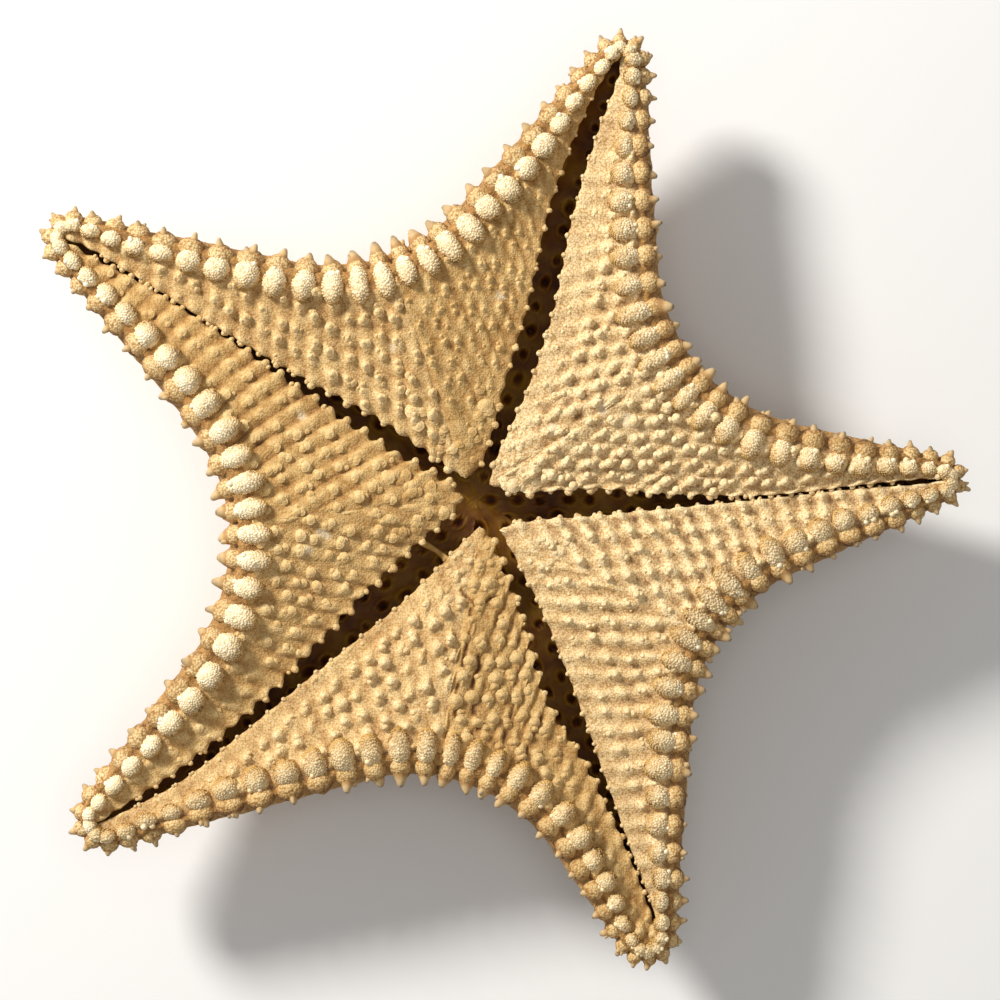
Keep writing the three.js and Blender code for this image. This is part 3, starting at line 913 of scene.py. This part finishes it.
def make_plates(name, plates, shape, material):
    looks = dict(pale=plates["pale"], chalk_and_highlight=plates["chalk_and_highlight"])
    points, triangles, extra = scatter(shape, plates["centre"], plates["frame"], plates["size"], looks)
    outward = unit(points - np.repeat(plates["centre"], len(shape[0]), axis=0))
    points = points + outward * plate_lumps(points)[:, None]
    forward, lift = (np.tile(shape[0][:, axis], len(plates["centre"])) for axis in (1, 2))
    # Painted light: the plates get lighter towards their tops, with shade underneath, and towards their outer
    # ends; their chalky white is kept to the tops, partly wear and partly painted highlight.
    extra["tone"] = np.clip(0.2 + 0.25 * forward + 0.45 * lift + 0.2 * noise(points, 1.5, 43), 0, 1)
    extra["chalk_and_highlight"] *= np.clip(1.3 * lift - 0.2, 0, 1)
    return new_mesh(name, material, points, triangles, extra)


GRANULE_AREA = 0.42     # square millimetres of plate for each granule


def make_granules(plates, material):
    """Round granules that cover the lower marginal plates, on a sunflower spiral over each of them."""
    rows = []
    golden = math.pi * (3 - math.sqrt(5))
    for p, (centre, size, turn) in enumerate(zip(plates["centre"], plates["size"], plates["frame"])):
        count = int(4 * math.pi * np.prod(size) ** (2 / 3) / GRANULE_AREA)
        i = np.arange(count)
        z = 1 - 2 * (i + 0.5) / count
        on_ball = np.column_stack([polar(golden * i + p, np.sqrt(1 - z * z)), z])
        on_ball = on_ball[(z > -0.25) & (chance(i, p, 7) < 0.88)]
        # Painted highlight: granules are paler towards the top of their plate, and towards its outer end.
        pale = plates["pale"][p] * np.clip(0.5 + 0.4 * on_ball[:, 2] + 0.25 * on_ball[:, 1], 0.2, 1)
        rows.append((centre + (on_ball * size) @ turn.T, unit((on_ball / size) @ turn.T), pale))
    centre, normal, pale = gather(rows)
    centre = centre + normal * plate_lumps(centre)[:, None]
    i = np.arange(len(centre))
    wide = mix(0.22, 0.42, chance(i, 1, 5))
    looks = dict(pale=pale, tone=mix(0.6, 1.0, chance(i, 2, 6)))
    sizes = np.column_stack([wide, wide * 0.85, wide])
    made = scatter(GRANULE, centre, bases(normal, np.array([0.31, 0.2, 0.93])), sizes, looks)
    return new_mesh("marginal_granules", material, *made)


def make_beads(plates, material):
    """Smooth larger beads on the outer ends of many lower marginal plates."""
    p = np.arange(len(plates["centre"]))
    share = np.where(plates["web"] >= 2, 0.55, 0.25)
    rows = []
    for copy in range(3):
        which = p[chance(p, copy, 51) < share / (1 + copy)]
        turn = (chance(which, copy, 52) - 0.5) * 1.8
        lift = mix(0.35, 0.9, chance(which, copy, 53))
        on_ball = np.column_stack([np.sin(turn) * np.cos(lift), np.cos(turn) * np.cos(lift), np.sin(lift)])
        away = np.einsum("nij,nj->ni", plates["frame"][which], on_ball * plates["size"][which])
        rows.append((plates["centre"][which] + away, which))
    place, which = gather(rows)
    i = np.arange(len(place))
    size = mix(0.5, 0.85, chance(i, 3, 54)) * np.clip(plates["size"][which][:, 0] / 2.6, 0.6, 1)
    looks = dict(tone=mix(0.7, 1.0, chance(i, 4, 55)), pale=plates["pale"][which])
    made = scatter(ball(8, 12), place, plates["frame"][which], np.repeat(size[:, None], 3, 1), looks)
    return new_mesh("marginal_beads", material, *made)


def make_spines(plates, material):
    """Stout blunt spines on the outer faces of the upper marginal plates, mostly one on each."""
    p = np.arange(len(plates["centre"]))
    rows = []
    for copy, (share, spread, small) in enumerate([(0.97, 0.7, 1.0), (0.4, 1.8, 0.7), (0.2, 2.2, 0.6)]):
        which = p[chance(p, copy, 81) < share]
        outward = unit(plates["frame"][which][:, :, 1] * [1, 1, 0])
        turn = (chance(which, copy, 82) - 0.5) * spread
        lift = mix(-0.1, 0.6, chance(which, copy, 83))
        way = unit(outward + turn[:, None] * np.cross(outward, UP) + lift[:, None] * UP)
        scale = plates["size"][which][:, 2] / UPPER_HEIGHT
        small = small * np.clip(1.4 * scale - 0.3, 0.3, 1)
        fat = mix(1.3, 1.75, chance(which, copy, 84)) * small
        size = np.column_stack([fat, mix(1.9, 3.0, chance(which, copy, 85)) * small, fat])
        rows.append((plates["centre"][which] + way * (2.5 * scale)[:, None], way, size))
    place, way, size = gather(rows)
    points, triangles, _ = scatter(SPINE, place, bases(way, np.array([0, 0.1, 1.0])), size)
    tones = dict(tip=np.tile(np.clip(SPINE[0][:, 1], 0, 1), len(place)))
    return new_mesh("marginal_spines", material, shaken(points, 0.12, 1.0, 86), triangles, tones)


def make_teeth(material):
    """Rounded tubercles on the teeth of the groove edges."""
    rows = []
    for (k, side), half in HALVES.items():
        n = np.arange(1, int(0.96 * half.edge_length / RIB_PITCH)).astype(float)
        seed, tooth = 200 + 9 * k + side, min(half.look["tooth"], 1.0)
        for copy, (often, spread, small) in enumerate([(0.9, 0.15, 1.0), (0.5, 0.7, 0.7)]):
            kept = n[chance(n, copy, seed + 1) < often]
            beside = (chance(kept, copy, seed + 2) - 0.5) * spread
            share = (kept + beside) * RIB_PITCH / half.edge_length
            into = groove_side(half, share)
            scale = mix(1.0, 0.6, share) * mix(0.8, 1.15, chance(kept, copy, seed + 3)) * small
            scale = scale * mix(0.65, 1.0, tooth)
            push = 0.65 * lobes(half, share) + (0.7 * tooth - 0.4) * scale
            flat = half.edge(share) + into * push[:, None]
            place = np.column_stack([flat, half.edge_height(share) - 0.3 * scale])
            way = np.column_stack([into, np.full(len(kept), 0.5)])
            # The teeth take their half's paleness, which is partly painted light.
            pale = np.full(len(kept), mix(0.3, 0.8, half.look["pale"]))
            rows.append((place, way, np.column_stack([1.1 * scale, 1.3 * scale, scale]), pale))
    place, way, size, pale = gather(rows)
    looks = dict(tone=mix(0.5, 0.8, chance(np.arange(len(place)), 1, 57)), pale=pale)
    points, triangles, extra = scatter(ball(8, 12), place, bases(way, UP), size, looks)
    return new_mesh("groove_teeth", material, shaken(points, 0.12, 1.1, 58), triangles, extra)


def make_feet(material):
    """Blunt tubercles of the dome: the six that it stands on, and rows along the keels."""
    places, sizes = [(0.0, 0.0, 0.0)], [(3.2, POLE + 1.5, 3.2)]
    for arm in ARMS:
        axis = polar(math.radians(arm["angle"]))
        for step, radius in enumerate(np.arange(FOOT_RING, arm["reach"] - 4, 9.0)):
            out = radius / arm["reach"]
            low = POLE + KEEL_RISE * out ** KEEL_POWER
            height = low if step == 0 else mix(2.6, 1.2, out)
            fat = mix(3.3, 1.5, out)
            places.append((*(axis * radius), low - height))
            sizes.append((fat, height + 1.5, fat))
    place = np.array(places)
    frames = bases(UP + 0 * place, np.array([1.0, 0, 0]))
    looks = dict(tone=np.full(len(place), 0.6), pale=np.full(len(place), 0.4))
    return new_mesh("dome_tubercles", material, *scatter(FOOT, place, frames, np.array(sizes), looks))


def make_strand(material):
    """A dried strand of skin across the lower left groove."""
    start, end = np.array([-13.4, -10.6, 28.5]), np.array([-7.7, -14.6, 29.0])
    half_wide, half_thick, sides = 0.8, 0.16, 8
    t = np.linspace(0, 1, 14)
    path = mix(start, end, t[:, None]) + np.sin(np.pi * t)[:, None] * [0.5, 0.0, -1.6]
    frames = bases(unit(np.gradient(path, axis=0)), UP)
    around = np.arange(sides) * 2 * np.pi / sides
    ring = np.column_stack([half_wide * np.cos(around), 0 * around, half_thick * np.sin(around)])
    wide = 0.7 + 0.5 * np.abs(2 * t - 1)
    points = (path[:, None] + np.einsum("nij,kj->nki", frames, ring) * wide[:, None, None]).reshape(-1, 3)
    triangles = skin_rings(np.arange(len(points)).reshape(-1, sides))[:, ::-1]
    return new_mesh("dried_strand", material, points, triangles, dict(tone=np.full(len(points), 0.9)))


# ---------------------------------------------------------------- materials

def linear(r, g, b):
    """sRGB from 0 to 255 as linear numbers."""
    channels = [c / 255 for c in (r, g, b)]
    return [c / 12.92 if c <= 0.04045 else ((c + 0.055) / 1.055) ** 2.4 for c in channels] + [1.0]


class Nodes:
    """A material's node tree, with short ways to add and link nodes."""

    def __init__(self, name):
        self.material = bpy.data.materials.new(name)
        self.material.use_nodes = True
        self.tree = self.material.node_tree
        self.shader = self.tree.nodes["Principled BSDF"]

    def add(self, kind, **inputs):
        node = self.tree.nodes.new(kind)
        for key, value in inputs.items():
            self.set(node, key, value)
        return node

    def set(self, node, key, value):
        socket = node.inputs[key]
        if isinstance(value, bpy.types.NodeSocket):
            self.tree.links.new(value, socket)
        else:
            socket.default_value = value

    def attribute(self, name):
        node = self.tree.nodes.new("ShaderNodeAttribute")
        node.attribute_name = name
        return node.outputs["Fac"]

    def ramp(self, value, stops):
        node = self.tree.nodes.new("ShaderNodeValToRGB")
        self.tree.links.new(value, node.inputs["Fac"])
        elements = node.color_ramp.elements
        while len(elements) < len(stops):
            elements.new(0.5)
        for element, (place, colour) in zip(elements, stops):
            element.position = place
            element.color = colour
        return node.outputs["Color"]

    def math(self, operation, a, b=0.0):
        node = self.tree.nodes.new("ShaderNodeMath")
        node.operation = operation
        self.set(node, 0, a)
        self.set(node, 1, b)
        return node.outputs[0]

    def times(self, a, b):
        return self.math("MULTIPLY", a, b)

    def swing(self, value, amount):
        """A value around 0.5 turned into one around 0, this many times as large."""
        return self.times(self.math("SUBTRACT", value, 0.5), amount)

    def blend(self, kind, share, a, b):
        first_colour, second_colour, mixed_colour = 6, 7, 2
        node = self.tree.nodes.new("ShaderNodeMix")
        node.data_type = "RGBA"
        node.blend_type = kind
        self.set(node, "Factor", share)
        self.set(node, first_colour, a)
        self.set(node, second_colour, b)
        return node.outputs[mixed_colour]

    def place(self):
        return self.tree.nodes.new("ShaderNodeTexCoord").outputs["Object"]

    def grains(self, size):
        """Distance from the middle of each grain, in a packing of grains this many metres apart."""
        node = self.add("ShaderNodeTexVoronoi", Vector=self.place(), Scale=1 / size, Randomness=0.85)
        return node.outputs["Distance"]

    def clouds(self, size, detail=3.0):
        node = self.add("ShaderNodeTexNoise", Vector=self.place(), Scale=1 / size, Detail=detail)
        return node.outputs["Fac"]

    def bump(self, height, distance, strength=1.0, normal=None):
        node = self.add("ShaderNodeBump", Height=height, Distance=distance, Strength=strength)
        if normal is not None:
            self.tree.links.new(normal, node.inputs["Normal"])
        return node.outputs["Normal"]

    def finish(self, colour, roughness, specular=0.5, normal=None):
        self.set(self.shader, "Base Color", colour)
        self.set(self.shader, "Roughness", roughness)
        self.set(self.shader, "Specular IOR Level", specular)
        if normal is not None:
            self.set(self.shader, "Normal", normal)
        return self.material


# UMBER is the colour of painted shade in furrows, cracks and crevices; the chalky white is partly painted
# highlight on the plates' tops.
TAN = linear(204, 162, 90)
CREAM = linear(246, 224, 178)
OCHRE = linear(166, 116, 46)
UMBER = linear(88, 48, 8)
CHALK_AND_HIGHLIGHT = linear(254, 244, 218)


def skin_material(name, grain=0.00052, depth=0.00015, crisp=0.45):
    """Granulated skin: umber painted shade in furrows, tan between, cream painted highlights on the granules
    and the relief, chalky patches.
    """
    nodes = Nodes(name)
    pale, grains = nodes.attribute("pale"), nodes.grains(grain)
    # The tone attribute brings painted shade in furrows and painted light on the relief; the clouds mottle it
    # at random.
    relief_shade_and_mottle = nodes.math("ADD", nodes.attribute("tone"), nodes.swing(nodes.clouds(0.0016), 0.5))
    base = nodes.ramp(relief_shade_and_mottle, [(0.0, UMBER), (0.28, OCHRE), (0.55, TAN), (1.0, linear(224, 186, 116))])
    base = nodes.blend("MIX", nodes.times(pale, 0.1), base, CREAM)
    # Painted highlight: the middles of the granules turn cream, more where the skin is pale and its tone
    # high.
    top = nodes.times(nodes.math("SUBTRACT", 0.62, grains), 1.7)
    lit = nodes.times(nodes.times(relief_shade_and_mottle, pale), nodes.math("ADD", top, 0.45))
    share = nodes.math("MINIMUM", nodes.math("MAXIMUM", nodes.times(lit, 1.7), 0.0), 1.0)
    colour = nodes.blend("MIX", share, base, CREAM)
    # Painted shade: the edges of the granules are darkened.
    seam_shade = nodes.times(nodes.math("MAXIMUM", nodes.math("SUBTRACT", grains, 0.42), 0.0), 1.3 * crisp)
    colour = nodes.blend("MULTIPLY", seam_shade, colour, linear(150, 100, 50))
    patch = nodes.times(nodes.math("ABSOLUTE", nodes.math("SUBTRACT", nodes.clouds(0.014, 2.0), 0.5)), 0.9)
    colour = nodes.blend("MIX", patch, colour, linear(200, 152, 88))
    # Chalky white: real bare patches on the webs, and on the plates' tops partly painted highlight.
    chalk_and_highlight = nodes.times(nodes.attribute("chalk_and_highlight"), 0.5)
    colour = nodes.blend("MIX", chalk_and_highlight, colour, linear(254, 240, 206))
    fine = nodes.bump(nodes.clouds(0.0006, 4.0), 0.00012, 0.5)
    return nodes.finish(colour, 0.82, 0.3, nodes.bump(nodes.times(grains, -1.0), depth, 1.0, fine))


def plate_material():
    """Chalky granules and beads of the marginal plates, paler on the plates' tops and on the webs facing the
    key light as painted highlight.
    """
    nodes = Nodes("plate_granules")
    cream = nodes.times(nodes.attribute("tone"), nodes.attribute("pale"))
    level = nodes.math("ADD", cream, nodes.times(nodes.clouds(0.0022), 0.25))
    # Painted highlight: the whitest colour, at the top of the ramp, shows on the palest granules near the
    # plates' tops.
    colour = nodes.ramp(level, [(0.05, OCHRE), (0.32, TAN), (0.68, CREAM), (1.0, CHALK_AND_HIGHLIGHT)])
    return nodes.finish(colour, 0.7, 0.4, nodes.bump(nodes.clouds(0.0004, 3.0), 0.00006, 0.5))


def inside_material():
    """Dried brown lining of the hollow, olive in its lighter bands and on the pore rims' painted highlight,
    nearly black in the pores as painted shade.
    """
    nodes = Nodes("inside_lining")
    level = nodes.math("ADD", nodes.attribute("tone"), nodes.swing(nodes.clouds(0.0028, 4.0), 0.5))
    stops = [(0.05, linear(40, 8, 2)), (0.3, linear(104, 50, 6)), (0.55, linear(144, 88, 10)),
             (0.95, linear(190, 138, 28))]
    normal = nodes.bump(nodes.clouds(0.0012, 4.0), 0.0003, 0.5)
    return nodes.finish(nodes.ramp(level, stops), 0.55, 0.35, normal)


def spine_material():
    """Tan spines with worn greyish tips."""
    nodes = Nodes("spines")
    level = nodes.math("ADD", nodes.attribute("tip"), nodes.swing(nodes.clouds(0.0015), 0.6))
    stops = [(0.0, linear(176, 132, 78)), (0.45, linear(208, 176, 124)), (0.85, linear(186, 160, 122)),
             (1.0, linear(140, 118, 90))]
    normal = nodes.bump(nodes.clouds(0.0005, 3.0), 0.0001, 0.6)
    return nodes.finish(nodes.ramp(level, stops), 0.75, normal=normal)


def strand_material():
    nodes = Nodes("dried_strand")
    cloud = nodes.clouds(0.001)
    colour = nodes.ramp(cloud, [(0.2, linear(150, 110, 44)), (0.8, linear(196, 158, 84))])
    return nodes.finish(colour, 0.5, normal=nodes.bump(cloud, 0.0002, 0.5))


# ---------------------------------------------------------------- setting

def make_floor():
    nodes = Nodes("pale_floor")
    colour = nodes.ramp(nodes.clouds(0.4, 1.0), [(0.0, (0.86, 0.86, 0.86, 1)), (1.0, (0.9, 0.9, 0.9, 1))])
    bpy.ops.mesh.primitive_plane_add(size=8.0, location=(0, 0, 0))
    floor = bpy.context.object
    floor.name = "floor"
    floor.data.materials.append(nodes.finish(colour, 0.9))


def area_light(name, place, aim, size, power, colour):
    data = bpy.data.lights.new(name, "AREA")
    data.shape = "DISK"
    data.size = size
    data.energy = power
    data.color = colour
    light = bpy.data.objects.new(name, data)
    light.location = place
    light.rotation_euler = (Vector(aim) - Vector(place)).to_track_quat("-Z", "Y").to_euler()
    bpy.context.scene.collection.objects.link(light)


def make_lights():
    middle = (0.0, 0.0, 0.03)
    area_light("key", (-0.82, 0.72, 0.76), middle, 0.3, 22.5, (1.0, 0.97, 0.92))
    area_light("top", (0.1, 0.0, 1.6), middle, 0.9, 4.0, (1.0, 0.98, 0.95))
    world = bpy.data.worlds.new("studio")
    world.use_nodes = True
    world.node_tree.nodes["Background"].inputs["Color"].default_value = (1.0, 0.985, 0.96, 1.0)
    world.node_tree.nodes["Background"].inputs["Strength"].default_value = 0.27
    bpy.context.scene.world = world
    bpy.context.scene.view_settings.view_transform = "Standard"


def make_camera():
    """Looks straight down on the mouth side; the frame is 244 mm wide at the height of the rim."""
    distance, across, level, to_the_right = 0.95, 0.244, 0.036, 0.0055
    data = bpy.data.cameras.new("camera")
    data.sensor_width = 36.0
    data.lens = data.sensor_width * distance / across
    data.clip_start, data.clip_end = 0.05, 20.0
    camera = bpy.data.objects.new("camera", data)
    camera.location = (to_the_right, 0.0, level + distance)
    bpy.context.scene.collection.objects.link(camera)
    bpy.context.scene.camera = camera


def main():
    make_camera()
    make_lights()
    make_floor()
    skin = skin_material("granular_skin")
    plates_skin = plate_material()
    for k in range(len(BAYS)):
        make_web(k, skin)
    make_flanks(skin_material("flank_skin", grain=0.0007, depth=0.00025))
    make_inside(inside_material())
    make_web_tubercles(skin_material("tubercle_skin", grain=0.00045, depth=0.0001, crisp=0.4))
    plates, outer = lower_plates(), upper_plates()
    plate_skin = skin_material("plate_skin", grain=0.0006, depth=0.00025, crisp=1.0)
    make_plates("lower_marginal_plates", plates, ball(14, 22), plate_skin)
    make_plates("upper_marginal_plates", outer, ball(10, 16), plate_skin)
    make_granules(plates, plates_skin)
    make_beads(plates, plates_skin)
    make_teeth(skin)
    make_spines(outer, spine_material())
    make_feet(skin)
    make_strand(strand_material())


main()
bpy.context.view_layer.update()
